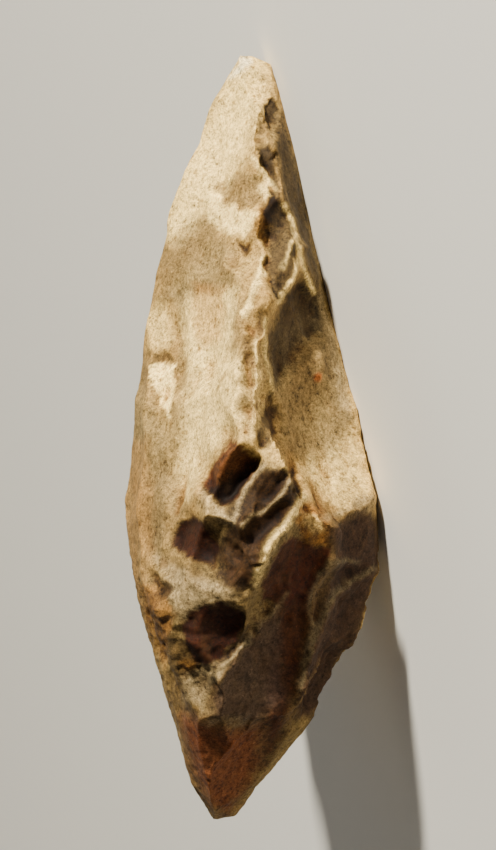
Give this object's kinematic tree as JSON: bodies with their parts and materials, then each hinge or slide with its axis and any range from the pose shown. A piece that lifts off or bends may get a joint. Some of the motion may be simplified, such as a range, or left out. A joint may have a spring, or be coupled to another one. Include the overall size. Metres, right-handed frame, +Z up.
{
  "type": "stone hand axe",
  "caption": "Pear-shaped flaked stone hand axe, worked on two faces to a sinuous edge and a narrow tip, lying on a flat spot of its under face.",
  "frame": {"origin": "bottom centre of the bounding box, on the surface that the stone lies on", "axes": "+X along the length towards the tip, +Y towards the far edge, +Z up out of the upper face"},
  "size_m": [0.0828, 0.05, 0.0277],
  "materials": {
    "stone": "matt flaked flint with a tan and ochre patina, browner at the butt"
  },
  "bodies": {
    "root": {"hand_axe": "stone"}
  },
  "joints": []
}
